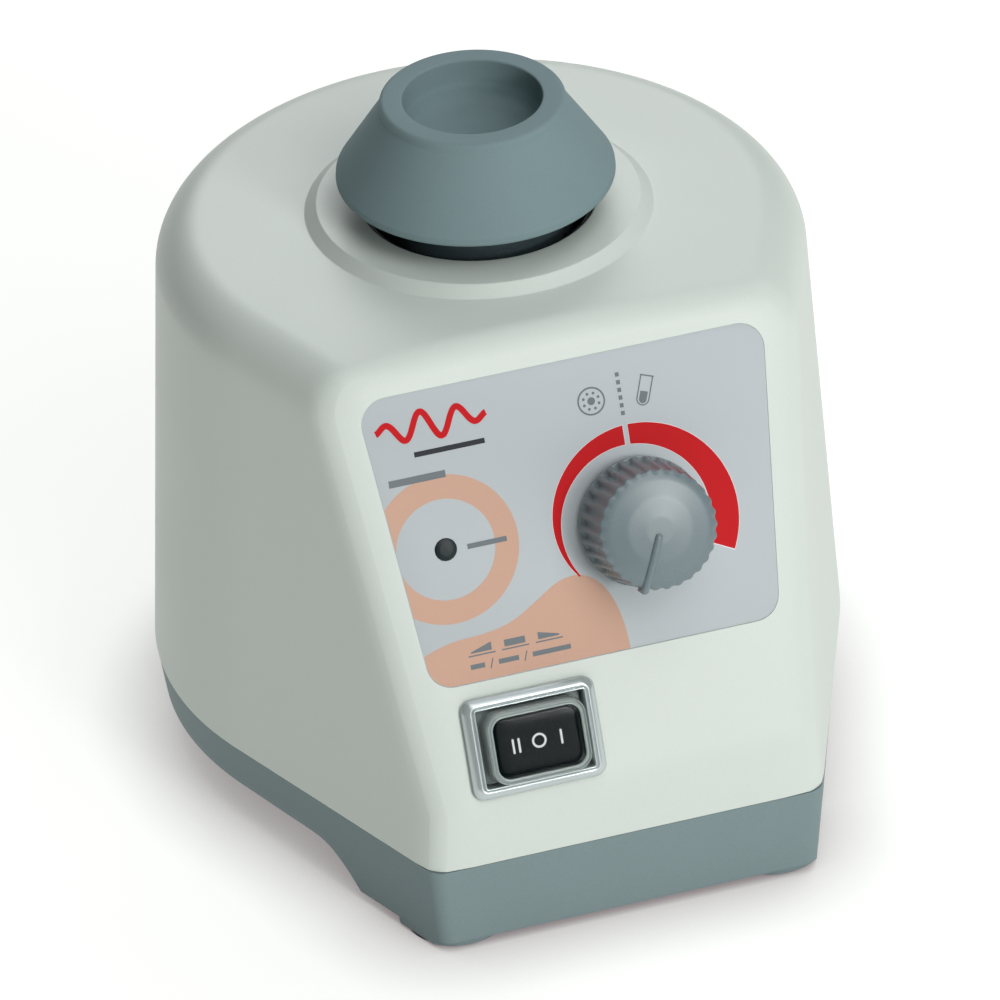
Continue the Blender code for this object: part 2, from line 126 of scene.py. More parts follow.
def lathe(name, prof, n, mat, radius=None, closed=True, sharp=32):
    """turns rows of (r, z) round the third axis; radius may vary r with the angle"""
    verts, rows = [], []
    for r, z in prof:
        if r <= 1e-6:
            rows.append([len(verts)])
            verts.append((0, 0, z))
        else:
            rows.append(list(range(len(verts), len(verts) + n)))
            for i in range(n):
                a = 2 * math.pi * i / n
                q = r if radius is None else radius(r, z, a)
                verts.append((q * math.cos(a), q * math.sin(a), z))
    faces = []
    last = len(rows) if closed else len(rows) - 1
    for k in range(last):
        a, b = rows[k], rows[(k + 1) % len(rows)]
        if len(a) == 1 and len(b) == 1:
            continue
        for i in range(n):
            j = (i + 1) % n
            if len(a) == 1:
                faces.append((a[0], b[j], b[i]))
            elif len(b) == 1:
                faces.append((a[i], a[j], b[0]))
            else:
                faces.append((a[i], a[j], b[j], b[i]))
    return mesh_object(name, verts, faces, mat, sharp=sharp)


def fillet(pts, radii, n=4, closed=True):
    """polyline with its corners rounded; a radius of 0 keeps the corner"""
    out, m = [], len(pts)
    for k in range(m):
        r = radii[k] if hasattr(radii, "__len__") else radii
        if r <= 0 or (not closed and k in (0, m - 1)):
            out.append(tuple(pts[k]))
            continue
        p, a, b = Vector(pts[k]), Vector(pts[k - 1]), Vector(pts[(k + 1) % m])
        d0, d1 = (a - p), (b - p)
        l0, l1 = d0.length, d1.length
        d0, d1 = d0 / l0, d1 / l1
        half = math.acos(max(-1, min(1, d0.dot(d1)))) / 2
        if half > math.pi / 2 - 0.01:
            out.append(tuple(pts[k]))
            continue
        t = min(r / math.tan(half), l0 * 0.49, l1 * 0.49)
        rr = t * math.tan(half)
        c = p + (d0 + d1).normalized() * (rr / math.sin(half))
        s0, s1 = p + d0 * t - c, p + d1 * t - c
        a0 = math.atan2(s0.y, s0.x)
        da = math.atan2(s1.y, s1.x) - a0
        while da <= -math.pi:
            da += 2 * math.pi
        while da > math.pi:
            da -= 2 * math.pi
        for i in range(n + 1):
            w = a0 + da * i / n
            out.append((c.x + rr * math.cos(w), c.y + rr * math.sin(w)))
    return out


def divide(prof, longest, closed=False):
    """adds even points along a profile's long steps"""
    out = []
    for (r0, z0), (r1, z1) in zip(prof, prof[1:] + prof[:1] if closed else prof[1:]):
        steps = int(math.hypot(r1 - r0, z1 - z0) / longest) + 1
        out += [(r0 + (r1 - r0) * k / steps, z0 + (z1 - z0) * k / steps) for k in range(steps)]
    return out if closed else out + [prof[-1]]


def rect(u, v, w, h, r=0.0, n=6):
    """rectangle round its middle, with corners of radius r"""
    p = [(u - w / 2, v - h / 2), (u + w / 2, v - h / 2), (u + w / 2, v + h / 2), (u - w / 2, v + h / 2)]
    return fillet(p, r, n) if r else p


def skin(n_loops, m, closed):
    """quads between neighbouring loops of m points each"""
    faces = []
    for k in range(n_loops if closed else n_loops - 1):
        k2 = (k + 1) % n_loops
        for i in range(m):
            j = (i + 1) % m
            faces.append((k * m + i, k * m + j, k2 * m + j, k2 * m + i))
    return faces


def loft(name, loops, mat=None, closed=False, sharp=32):
    """skin through loops of equal length; each loop is a list of (x, y, z)"""
    m = len(loops[0])
    verts = [p for lp in loops for p in lp]
    faces = skin(len(loops), m, closed)
    if not closed:
        faces += [tuple(range(m)), tuple((len(loops) - 1) * m + i for i in range(m))]
    return mesh_object(name, verts, faces, mat, sharp=sharp)


def prism(name, pts, z0, z1, mat, edge=0.0, n=3, sharp=32):
    """extruded outline; edge rounds its top rim"""
    if edge <= 0:
        return loft(name, [[(x, y, z0) for x, y in pts], [(x, y, z1) for x, y in pts]], mat, sharp=sharp)
    loops = [[(x, y, z0) for x, y in pts]]
    for k in range(n + 1):
        a = math.pi / 2 * k / n
        d = edge * (1 - math.cos(a))
        loops.append([(x, y, z1 - edge + edge * math.sin(a)) for x, y in inset(pts, d)])
    return loft(name, loops, mat, sharp=sharp)


def inset(pts, d):
    """moves a counter-clockwise outline inwards by d"""
    if d == 0:
        return list(pts)
    m, out = len(pts), []
    for i in range(m):
        a, p, b = pts[i - 1], pts[i], pts[(i + 1) % m]
        e0 = Vector((p[0] - a[0], p[1] - a[1]))
        e1 = Vector((b[0] - p[0], b[1] - p[1]))
        if e0.length < 1e-9 or e1.length < 1e-9:
            e0 = e1 if e0.length < 1e-9 else e0
            e1 = e0 if e1.length < 1e-9 else e1
        n0, n1 = Vector((-e0.y, e0.x)).normalized(), Vector((-e1.y, e1.x)).normalized()
        nn = (n0 + n1)
        nn = nn.normalized() if nn.length > 1e-9 else n0
        k = max(nn.dot(n0), 0.3)
        out.append((p[0] + nn.x * d / k, p[1] + nn.y * d / k))
    return out


def boolean(ob, others, op):
    """applies exact booleans and removes the tools"""
    bpy.context.view_layer.update()
    for t in others:
        m = ob.modifiers.new("b", 'BOOLEAN')
        m.operation, m.solver, m.object = op, 'EXACT', t
    bake(ob)
    for t in others:
        bpy.data.objects.remove(t, do_unlink=True)


def bake(ob):
    """turns the object's modifiers into mesh"""
    deps = bpy.context.evaluated_depsgraph_get()
    me = bpy.data.meshes.new_from_object(ob.evaluated_get(deps))
    ob.modifiers.clear()
    old = ob.data
    ob.data = me
    bpy.data.meshes.remove(old)


def bevel(ob, width, segments=3, angle=40):
    """rounds the edges sharper than that angle"""
    m = ob.modifiers.new("v", 'BEVEL')
    m.width, m.segments, m.limit_method, m.angle_limit = width * MM, segments, 'ANGLE', math.radians(angle)
    m.use_clamp_overlap = True
    bpy.context.view_layer.update()
    bake(ob)


def put(ob, body, mat, replaces=()):
    """gives a finished piece its material and body, and the CAD nodes it stands for"""
    ob.data.materials.clear()
    ob.data.materials.append(mat)
    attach(ob, body)
    if replaces:
        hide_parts(*replaces)
    return ob


# ------------------------------------------------------------ materials
def srgb(r, g, b):
    """linear colour from screen values of 0 to 255"""
    out = []
    for c in (r, g, b):
        c = c / 255.0
        out.append(c / 12.92 if c <= 0.04045 else ((c + 0.055) / 1.055) ** 2.4)
    return tuple(out)


def material(name, color, rough, tone=0.03, tone_scale=60, grain=0.0, grain_scale=2500, wave=0.0,
             wave_scale=90,
             metal=0.0, coat=0.0, coat_rough=0.1, spec=0.5, rough_var=0.06, speck=None, transmission=0.0,
             alpha=1.0):
    """base colour with a slow tone change, fine specks (scale, amount), uneven gloss, and a fine
    grain and a slow wave as bump, in mm"""
    m = bpy.data.materials.new(name)
    m.use_nodes = True
    N, L = m.node_tree.nodes, m.node_tree.links
    b = next(n for n in N if n.type == 'BSDF_PRINCIPLED')
    b.inputs['Metallic'].default_value = metal
    b.inputs['Specular IOR Level'].default_value = spec
    b.inputs['Coat Weight'].default_value = coat
    b.inputs['Coat Roughness'].default_value = coat_rough
    b.inputs['Transmission Weight'].default_value = transmission
    b.inputs['IOR'].default_value = 1.45
    b.inputs['Alpha'].default_value = alpha
    co = N.new('ShaderNodeTexCoord')
    big = N.new('ShaderNodeTexNoise')
    big.inputs['Scale'].default_value = tone_scale
    big.inputs['Detail'].default_value = 5
    L.new(co.outputs['Object'], big.inputs['Vector'])
    mix = N.new('ShaderNodeMix')
    mix.data_type = 'RGBA'
    mix.inputs[6].default_value = tuple(max(0, c * (1 - tone)) for c in color) + (1,)
    mix.inputs[7].default_value = tuple(min(1, c * (1 + tone)) for c in color) + (1,)
    L.new(big.outputs['Fac'], mix.inputs[0])
    col = mix.outputs[2]
    if speck:
        fine = N.new('ShaderNodeTexNoise')
        fine.inputs['Scale'].default_value = speck[0]
        fine.inputs['Detail'].default_value = 2
        L.new(co.outputs['Object'], fine.inputs['Vector'])
        ramp = N.new('ShaderNodeMapRange')
        ramp.inputs['From Min'].default_value = 0.35
        ramp.inputs['From Max'].default_value = 0.65
        ramp.inputs['To Min'].default_value = 1 - speck[1]
        ramp.inputs['To Max'].default_value = 1 + speck[1]
        L.new(fine.outputs['Fac'], ramp.inputs['Value'])
        mul = N.new('ShaderNodeVectorMath')
        mul.operation = 'SCALE'
        L.new(col, mul.inputs[0])
        L.new(ramp.outputs[0], mul.inputs['Scale'])
        col = mul.outputs[0]
    L.new(col, b.inputs['Base Color'])
    rr = N.new('ShaderNodeMapRange')
    rr.inputs['To Min'].default_value = rough - rough_var
    rr.inputs['To Max'].default_value = rough + rough_var
    L.new(big.outputs['Fac'], rr.inputs['Value'])
    L.new(rr.outputs[0], b.inputs['Roughness'])
    normal = None
    for amount, scale, detail in ((wave, wave_scale, 2), (grain, grain_scale, 3)):
        if amount <= 0:
            continue
        tex = N.new('ShaderNodeTexNoise')
        tex.inputs['Scale'].default_value = scale
        tex.inputs['Detail'].default_value = detail
        L.new(co.outputs['Object'], tex.inputs['Vector'])
        bump = N.new('ShaderNodeBump')
        bump.inputs['Strength'].default_value = 1.0
        bump.inputs['Distance'].default_value = amount * MM
        L.new(tex.outputs['Fac'], bump.inputs['Height'])
        if normal is not None:
            L.new(normal, bump.inputs['Normal'])
        normal = bump.outputs[0]
    if normal is not None:
        L.new(normal, b.inputs['Normal'])
    return m


def ink(name, color, tone):
    """matt printing ink"""
    return material(name, color, 0.62, spec=0.15, tone=tone, grain=0.003, grain_scale=6000,
                    speck=(6500, tone))


WHITE = material("white_abs", srgb(203, 211, 204), 0.46, tone=0.012, grain=0.010, grain_scale=2600,
                 wave=0.05, wave_scale=70, coat=0.08, coat_rough=0.35, speck=(3500, 0.012))
GREY = material("grey_abs", srgb(119, 136, 138), 0.55, spec=0.25, tone=0.03, grain=0.014, grain_scale=2400,
                speck=(3000, 0.03))
CUP = material("grey_rubber", srgb(117, 137, 140), 0.7, spec=0.22, tone=0.035, tone_scale=90, grain=0.012,
               grain_scale=3200, speck=(4200, 0.03))
RUBBER = material("black_rubber", srgb(38, 41, 43), 0.75, tone=0.06, grain=0.02, grain_scale=2600,
                  speck=(3600, 0.08))
KNOB = material("knob_grey", srgb(108, 122, 126), 0.28, spec=0.5, tone=0.02, grain=0.006, grain_scale=3200,
                speck=(5200, 0.015))
FILM = material("label_film", srgb(179, 186, 189), 0.55, spec=0.25, tone=0.008, grain=0.004,
                grain_scale=5200, speck=(6000, 0.01))
INK_RED = ink("ink_red", srgb(190, 22, 28), 0.03)
INK_PEACH = ink("ink_peach", srgb(197, 160, 140), 0.02)
INK_GREY = ink("ink_grey", srgb(112, 120, 124), 0.04)
INK_DARK = ink("ink_dark", srgb(52, 54, 58), 0.04)
INK_PALE = material("ink_pale", srgb(222, 214, 216), 0.42, tone=0.01, grain=0.003, grain_scale=6000,
                    speck=(6500, 0.02))
INK_WHITE = material("ink_white", srgb(232, 238, 236), 0.5, tone=0.02, grain=0.003, grain_scale=6000,
                     speck=(6500, 0.02))
BEZEL = material("bezel_bright", srgb(184, 193, 193), 0.2, tone=0.03, grain=0.002, grain_scale=3000,
                 metal=0.42, coat=0.5, coat_rough=0.08, rough_var=0.04)
SKIRT = material("clear_skirt", srgb(186, 199, 196), 0.16, tone=0.08, grain=0.003, grain_scale=2200,
                 coat=0.9, coat_rough=0.06, rough_var=0.05, alpha=0.52)
CLEAR = material("clear_cover", srgb(8, 24, 28), 0.12, spec=0.3, tone=0.02, grain=0.002, grain_scale=2200,
                 rough_var=0.03, alpha=0.06)
ROCKER = material("rocker_black", srgb(2, 12, 15), 0.24, spec=0.16, tone=0.12, grain=0.004, grain_scale=2200,
                  rough_var=0.05, speck=(2600, 0.2))
# glossy black platform disc: its colour is lifted to a grey-blue as a painted sheen, on top of its real gloss
DISC = material("head_disc_painted_sheen", srgb(66, 78, 82), 0.26, spec=0.9, tone=0.06, grain=0.004, grain_scale=2600,
                rough_var=0.05, speck=(3600, 0.06))
BLACK = material("black_plastic", srgb(30, 31, 33), 0.5, tone=0.06, grain=0.015, grain_scale=2600,
                 speck=(3600, 0.08))
LAMP = material("lamp", srgb(12, 28, 30), 0.42, spec=0.3, tone=0.08, grain=0.004, coat=0.06, coat_rough=0.3,
                rough_var=0.05, speck=(3000, 0.08))
STEEL = material("steel", srgb(172, 172, 170), 0.34, tone=0.06, grain=0.004, grain_scale=1800, metal=1.0,
                 speck=(1800, 0.06))
IRON = material("laminations", srgb(92, 92, 96), 0.48, tone=0.1, grain=0.01, grain_scale=1500, metal=0.9,
                speck=(1500, 0.1))
COPPER = material("winding", srgb(158, 84, 44), 0.3, tone=0.12, grain=0.03, grain_scale=1400, metal=0.7,
                  coat=0.5, speck=(1400, 0.15))
ALU = material("aluminium", srgb(188, 190, 192), 0.42, tone=0.05, grain=0.012, grain_scale=1600, metal=1.0,
               speck=(2200, 0.05))
BRASS = material("brass", srgb(196, 170, 104), 0.3, tone=0.06, grain=0.004, grain_scale=1800, metal=1.0,
                 speck=(2000, 0.06))
BOARD = material("board", srgb(34, 92, 52), 0.4, tone=0.08, grain=0.01, grain_scale=1200, coat=0.4,
                 speck=(900, 0.1))
PLATE = material("paper_film", srgb(206, 208, 208), 0.4, tone=0.02, grain=0.003, grain_scale=5000,
                 speck=(5000, 0.02))
NYLON = material("nylon", srgb(222, 220, 208), 0.45, tone=0.03, grain=0.006, grain_scale=2000,
                 speck=(3000, 0.03))
FUSE = material("fuse_glass", srgb(220, 228, 228), 0.06, tone=0.01, transmission=0.8, grain=0.001,
                rough_var=0.02)


# ------------------------------------------------------------ housing shape as a distance field
def round_max(a, b, r):
    """solid common to a and b, its edge rounded by r"""
    return np.minimum(np.maximum(a + r, b + r), 0) + np.hypot(np.maximum(a + r, 0), np.maximum(b + r, 0)) - r


def field(p):
    """distance to the housing's outer skin; points are n x 3, in mm, from the motor axis"""
    x, y, z = np.abs(p[:, 0]), p[:, 1], p[:, 2]
    d2 = np.where(x * TS + y * TC > 0, np.hypot(x, y) - R_BODY, x * TC - y * TS - R_BODY)
    side = (d2 + (z - Z_PART) * math.tan(math.radians(DRAFT))) * math.cos(math.radians(DRAFT))
    crown = Z_CROWN - (Z_CROWN - Z_TOP) * (np.maximum(np.hypot(p[:, 0], y) - R_FOOT, 0) / 24.3) ** 2
    body = round_max(side, z - crown, FILLET)
    flat = Y_FRONT - y
    lean = -(y - Y_FRONT) * C + (z - Z_KNEE) * S
    rk = 14.0                                       # knee between the flat front and the panel
    cy, cz = Y_FRONT + rk, Z_KNEE + (-rk + rk * C) / S
    below = z - cz < 0
    above = (y - cy) * S + (z - cz) * C > 0
    front = np.where(below, flat, np.where(above, lean, np.hypot(y - cy, z - cz) - rk))
    t = np.clip((z - 26) / 12, 0, 1)
    r = R_EDGE + 0.2 * t * t * (3 - 2 * t)
    out = round_max(body, front, r)
    return round_max(out, Z_PART - z, 0.2)


def project(p, steps=6):
    """moves points along the field's slope onto the skin"""
    e = 1e-3
    for _ in range(steps):
        f = field(p)
        g = np.stack([(field(p + d) - f) / e for d in np.eye(3) * e], 1)
        g /= np.maximum(np.linalg.norm(g, axis=1, keepdims=True) ** 2, 1e-6)
        p = p - g * f[:, None]
    return p


def outline(radius, yf, rc, n_front=14, n_corner=12, n_side=16, n_arc=110):
    """plan outline as points, counter-clockwise from the middle of the front"""
    yc = yf + rc
    xc = (radius - rc + yc * TS) / TC
    half = []
    for i in range(n_front // 2):
        half.append((xc * i / (n_front // 2), yf))
    for i in range(n_corner + 1):
        a = -math.pi / 2 + (math.pi / 2 - math.radians(TAPER)) * i / n_corner
        half.append((xc + rc * math.cos(a), yc + rc * math.sin(a)))
    x0, y0 = half[-1]
    x1, y1 = radius * TC, -radius * TS
    for i in range(1, n_side):
        half.append((x0 + (x1 - x0) * i / n_side, y0 + (y1 - y0) * i / n_side))
    for i in range(n_arc // 2 + 1):
        a = -math.radians(TAPER) + (math.pi / 2 + math.radians(TAPER)) * i / (n_arc // 2)
        half.append((radius * math.cos(a), radius * math.sin(a)))
    return half + [(-x, y) for x, y in half[-2:0:-1]]


def front_y(z):
    """y of the front or the panel at a height"""
    return Y_FRONT + max(0.0, z - Z_KNEE) * S / C


def wall_ring(z, inner=0.0):
    """plan outline of the wall at a height, moved in by inner"""
    radius = R_BODY - (z - Z_PART) * math.tan(math.radians(DRAFT)) - inner
    fil, top = FILLET - inner, Z_TOP - inner
    if z > top - fil:
        h = z - (top - fil)
        radius -= fil - math.sqrt(max(fil * fil - h * h, 0.0))
    yf = max(Y_FRONT + inner, front_y(z) + (inner / C if inner else 0))
    rc = max(R_EDGE - inner * 0.5, 1.6)
    return np.array([(x, y, z) for x, y in outline(radius, yf, rc)])


def housing_mesh():
    """shell: up the outer wall, over the top and plateau, down the opening and the inner wall"""
    zs = [Z_PART, Z_PART + 0.06, Z_PART + 0.12, Z_PART + 0.2, Z_PART + 0.6, 20.5, 22.5]
    zs += list(np.linspace(24.5, 36, 18)) + list(np.linspace(38, Z_TOP - FILLET, 22))
    zs += [Z_TOP - FILLET + FILLET * math.sin(math.pi / 2 * k / 26) for k in range(1, 27)]
    rings = [wall_ring(z) for z in zs]
    edge = rings[-1]
    n = len(edge)
    ang = np.arctan2(edge[:, 1], edge[:, 0])
    foot = np.stack([R_FOOT * np.cos(ang), R_FOOT * np.sin(ang), np.full(n, Z_CROWN)], 1)
    # the top, from the wall's upper edge to the foot of the plateau
    for k in range(1, 19):
        t = (k / 19) ** 1.7
        rings.append(edge * (1 - t) + foot * t)
    rings = [project(r) for r in rings]
    rim = [(R_FOOT + 0.9, Z_CROWN), (R_FOOT, Z_CROWN), (R_PLATEAU, Z_PLATEAU), (R_OPENING, Z_PLATEAU),
           (R_OPENING, Z_TOP - WALL)]
    prof = fillet(rim, [0, 0.5, 0.4, 0.5, 0], 6, closed=False)[1:]
    prof = prof[:-1] + [(R_OPENING, Z_TOP), (R_OPENING, Z_TOP - WALL)]
    full = []
    for (r0, z0), (r1, z1) in zip(prof, prof[1:]):
        steps = 5 if math.hypot(r1 - r0, z1 - z0) > 3 else 1
        full += [(r0 + (r1 - r0) * k / steps, z0 + (z1 - z0) * k / steps) for k in range(steps)]
    full.append(prof[-1])
    for r, z in full:
        rings.append(np.stack([r * np.cos(ang), r * np.sin(ang), np.full(n, z)], 1))
    inner_edge = wall_ring(Z_TOP - WALL, WALL)
    hole = rings[-1]
    for k in range(1, 5):
        rings.append(hole * (1 - k / 4) + inner_edge * k / 4)
    fi, ti = FILLET - WALL, Z_TOP - WALL
    levels = [ti - fi + fi * math.sin(math.pi / 2 * k / 6) for k in range(5, -1, -1)]
    levels += [70, 50, 34, Z_KNEE, 24, Z_PART]
    for z in levels:
        rings.append(wall_ring(z, WALL))
    verts = np.concatenate(rings).tolist()
    return mesh_object("housing_shell", verts, skin(len(rings), n, True), AXIS, sharp=None)


def build_housing():
    ob = housing_mesh()
    pad = prism("inlet_pad", rect(0, Z_INLET, 36, 38, 2), 54.5, 58.4, REAR, sharp=30)
    boolean(ob, [pad], 'UNION')
    cuts = [prism("inlet_seat", rect(0, Z_INLET, 32.8, 34.8, 2.4, 6), Y_POCKET, 70, REAR),
            prism("inlet_hole", rect(0, Z_INLET, 27.8, 29.8, 0.8, 3), 45, 66, REAR),
            prism("label_recess", fillet(inset(LABEL, -LABEL_GAP), LABEL_R + LABEL_GAP, 10), -0.4, 3, PANEL),
            lathe("knob_hole", [(0, -8), (3.7, -8), (3.7, 4), (0, 4)], 40, panel_at(KNOB_U, KNOB_V)),
            lathe("lamp_hole", [(0, -8), (2.2, -8), (2.2, 4), (0, 4)], 40, panel_at(LAMP_U, LAMP_V)),
            prism("switch_hole", rect(SW_U, SW_V, 22.4, 16.4, 0.6, 3), -9, 5, PANEL)]
    boolean(ob, cuts, 'DIFFERENCE')
    soften(ob, 24)
    return put(ob, "housing", WHITE, ["top_housing"])


build_housing()


# ------------------------------------------------------------ base tray
def base_outline(z, inner=0.0):
    """plan outline of the tray at a height, moved in by inner"""
    down = Z_PART - z
    g = 0.1 + down * 0.086 + inner
    y_front = Y_FRONT + 0.1 + down * 0.036 + inner
    out = []
    for x, y in outline(R_BODY - g, y_front, max(3.3 - inner * 0.4, 1.8), n_front=2, n_side=8, n_arc=120):
        t = min(1.0, max(0.0, (y + 50) / 35))          # the rear half draws in more
        k = 1 - 0.055 * down * t * t * (3 - 2 * t) / R_BODY
        out.append((x * k, y * k))
    return out


def smoother(pts, rounds=2):
    """cuts the corners of an open line, keeping its ends"""
    for _ in range(rounds):
        out = [pts[0]]
        for a, b in zip(pts, pts[1:]):
            out += [(a[0] * k + b[0] * (1 - k), a[1] * k + b[1] * (1 - k)) for k in (0.75, 0.25)]
        pts = out + [pts[-1]]
    return pts


def tray_shell(top):
    """tray with its arch cut out, but round blocks left standing over the feet"""
    levels = (Z_BOSS, 3.0, 6.0, 9.0, 12.0, 15.0, top + 1.5)
    ob = loft("base_shell", [[(x, y, z) for x, y in base_outline(z)] for z in levels], AXIS, sharp=30)
    arch = smoother([(-54.3, Z_BASE), (-53.05, 3.85), (-51.76, 5.35), (-50.4, 6.75), (-48.9, 7.95),
                     (-47.2, 8.95), (-45.0, 9.6), (-42.5, Z_ARCH), (-38, Z_ARCH)])
    low = [(-90, -6), (-90, Z_BASE), (-60, Z_BASE)] + arch + [(90, Z_ARCH), (90, -6)]
    under = prism("under_tray", low[::-1], -90, 90, SIDE)
    stay = [lathe("foot_block", [(0, -8), (10.0, -8), (10.0, 12), (0, 12)], 96, axis_at(x, y))
            for x, y in FEET.values()]
    boolean(under, stay, 'DIFFERENCE')
    boolean(ob, [under], 'DIFFERENCE')
    bevel(ob, 0.55)
    return ob


def foot_post(name, x, y):
    """post that a foot is screwed to; the front ones carry a wide boss"""
    if y < 0:
        pts = [(1.75, 3.6), (8.5, 3.6), (8.5, 11.9), (4.6, 11.9), (4.6, 16.6), (1.75, 16.6)]
        radii = [0, 0, 0.3, 0, 0.3, 0]
    else:
        pts = [(1.75, 9.8), (4.6, 9.8), (4.6, 16.6), (1.75, 16.6)]
        radii = [0, 0, 0.3, 0]
    ob = lathe("foot_post_" + name, fillet(pts, radii, 4), 64, axis_at(x, y))
    put(ob, "housing", GREY)


def build_base():
    top = Z_PART - 0.07                                 # the parting gap
    ob = tray_shell(top)
    toe = fillet([(-33.4, -73.9), (33.4, -73.9), (38.6, -58.5), (-38.6, -58.5)], 3.0, 5)
    cuts = [prism("above", rect(0, 0, 200, 200), top, 40, AXIS),
            prism("inside", base_outline(12.3, 2.4), 12.3, 22, AXIS),
            prism("toe", toe, 4.6, 15, AXIS)]
    for k in range(7):
        cuts.append(prism("vent_%d" % k, rect(-18 + 6 * k, -18, 2.4, 22, 1.15, 5), 8, 13, AXIS))
    for x, y in FEET.values():
        cuts.append(lathe("foot_seat", [(0, -2), (5.4, -2), (5.4, 3.6), (0, 3.6)], 64, axis_at(x, y)))
    boolean(ob, cuts, 'DIFFERENCE')
    soften(ob, 32)
    put(ob, "housing", GREY, ["base_tray"])
    for name, (x, y) in FEET.items():
        foot_post(name, x, y)


build_base()


# ------------------------------------------------------------ feet and their screws
def build_foot(name, x, y):
    pts = [(1.8, 1.3), (3.8, 1.3), (3.8, 0.0), (5.2, 0.0), (5.45, 0.3), (5.7, 0.0), (6.6, 0.0), (6.85, 0.3),
           (7.1, 0.0), (8.8, 0.0), (8.8, 0.62), (5.1, 0.62), (5.1, 3.3), (1.8, 3.3)]
    prof = fillet(pts, [0, 0, 0.25, 0.1, 0.1, 0.1, 0.1, 0.1, 0.1, 0.25, 0.15, 0, 0, 0], 4)
    foot = lathe("rubber_foot_" + name, prof, 72, axis_at(x, y))
    put(foot, "housing", RUBBER, ["foot_" + name])
    pts = [(0, 0.3), (2.5, 0.3), (3.3, 0.8), (3.3, 1.15), (1.55, 1.2), (1.55, 15.0), (0, 16.2)]
    prof = fillet(pts, [0, 0.5, 0.1, 0, 0, 0, 0], 4, closed=False)
    screw = lathe("foot_bolt_" + name, prof, 40, axis_at(x, y), closed=False)
    cross = [prism("slot", rect(0, 0, w, h), -1, 0.95, axis_at(x, y)) for w, h in ((3.0, 0.62), (0.62, 3.0))]
    boolean(screw, cross, 'DIFFERENCE')
    soften(screw, 30)
    put(screw, "housing", STEEL, ["foot_screw_" + name])


for name, (x, y) in FEET.items():
    build_foot(name, x, y)


# ------------------------------------------------------------ rubber cup, its platform and the collar
def build_head():
    pts = [(17.45, 115.6), (25.45, 115.6), (25.3, 117.2), (17.35, 129.45), (16.95, 130.1), (16.9, 131.9),
           (12.72, 131.9), (12.45, 127.5), (11.9, 125.0), (9.4, 122.3), (5.0, 121.35), (0, 121.3), (0, 119.8),
           (17.45, 119.8)]
    radii = [0.3, 0.7, 0.35, 0.7, 0.5, 1.7, 0.38, 4.0, 4.0, 5.0, 6.0, 0, 0, 0]
    prof = divide(fillet(pts, radii, 7), 1.6, closed=True)
    ob = lathe("rubber_cup_cone", prof, 160, axis_at(*CRANK), sharp=50)
    put(ob, "rubber_cup", CUP, ["cup"])
    pts = [(8.1, 99), (11.0, 99), (11.0, 103.2), (17.2, 103.2), (17.2, 119.5), (0, 119.5), (0, 111.9),
           (5.0, 111.9), (5.0, 106.5), (8.1, 106.5)]
    prof = fillet(pts, [0, 0.3, 0.3, 0.6, 0.5, 0, 0, 0, 0, 0], 4)
    put(lathe("head_disc", prof, 120, axis_at(*CRANK)), "mixing_head", DISC, ["head_platform"])
    pts = [(20.4, 99.0), (21.1, 99.0), (21.1, 100.8), (24.5, 100.8), (24.5, 103.4), (21.1, 103.4),
           (21.1, 108.6), (20.4, 108.6)]
    prof = fillet(pts, [0, 0, 0, 0.3, 0.3, 0, 0.2, 0.2], 3)
    put(lathe("opening_collar", prof, 120, AXIS), "housing", BLACK, ["splash_collar"])


build_head()


# ------------------------------------------------------------ knob
FLUTES = 30
R_FACE, Z_SKIRT, Z_FACE = 9.9, 2.1, 11.4                # where the grooves end
Z_KNOB = 13.1                                           # middle of the face


def knob_radius(r, z, a):
    """round-ended grooves on the tapering skirt that nick the rim of the face"""
    if r < R_FACE or z < Z_SKIRT:
        return r
    up = min(1.0, max(0.0, (z - 3.0) / 8.6))
    low = min(1.0, max(0.0, (z - Z_SKIRT) / 1.1))
    depth = (0.74 - 0.44 * up) * math.sqrt(max(0.0, 1 - (1 - low) ** 2))
    if z > Z_FACE:
        depth *= min(1.0, max(0.0, (r - R_FACE) / 0.8))
    w = 0.5 + 0.5 * math.cos(FLUTES * a)
    return r - depth * w * w * (3 - 2 * w)


def pointer_loops():
    """cross sections of the raised pointer, along the face from near the middle to the rim"""
    v0, v1, half = 0.55, 11.98, 0.74
    loops = []
    for k in range(49):
        v = v0 + (v1 - v0) * k / 48
        e0 = max(0.0, 1 - (v - v0) / half)
        e1 = max(0.0, 1 - (v1 - v) / half)
        rounding = math.sqrt(max(0.0, 1 - e0 * e0 - e1 * e1))
        w, h = max(half * rounding, 0.03), max(0.55 * rounding, 0.02)
        top = Z_KNOB - 1.05 * (v / 11.0) ** 2.2
        root = top - (1.4 if v < 10 else 1.4 + (v - 10) * 0.6)
        lp = [(-w, v, root), (w, v, root)]
        for q in range(13):
            a = math.pi * q / 12
            lp.append((w * math.cos(a), v, top - 0.12 + (h + 0.12) * math.sin(a) ** 0.8))
        loops.append(lp)
    return loops


def build_knob():
    mat = panel_at(KNOB_U, KNOB_V)
    pts = [(0, 10.4), (3.08, 10.4), (3.08, 5.0), (8.6, 4.0), (10.4, 0.95), (11.75, 0.95), (11.85, 2.1),
           (11.62, 3.4), (10.96, 11.95), (9.6, 12.45), (6.0, 12.9), (2.5, 13.08), (0, Z_KNOB)]
    prof = fillet(pts, [0, 0, 0.2, 0.3, 0.2, 0.3, 0.6, 1.0, 0.42, 6, 12, 12, 0], 6, closed=False)
    ob = lathe("speed_knob_cap", divide(prof, 0.8), FLUTES * 12, mat, knob_radius, closed=False, sharp=60)
    turn = Matrix.Rotation(math.radians(180 - 22.6), 4, 'Z')
    boolean(ob, [loft("ridge", pointer_loops(), mat @ turn, sharp=50)], 'UNION')
    soften(ob, 48)
    put(ob, "speed_knob", KNOB, ["knob"])


build_knob()


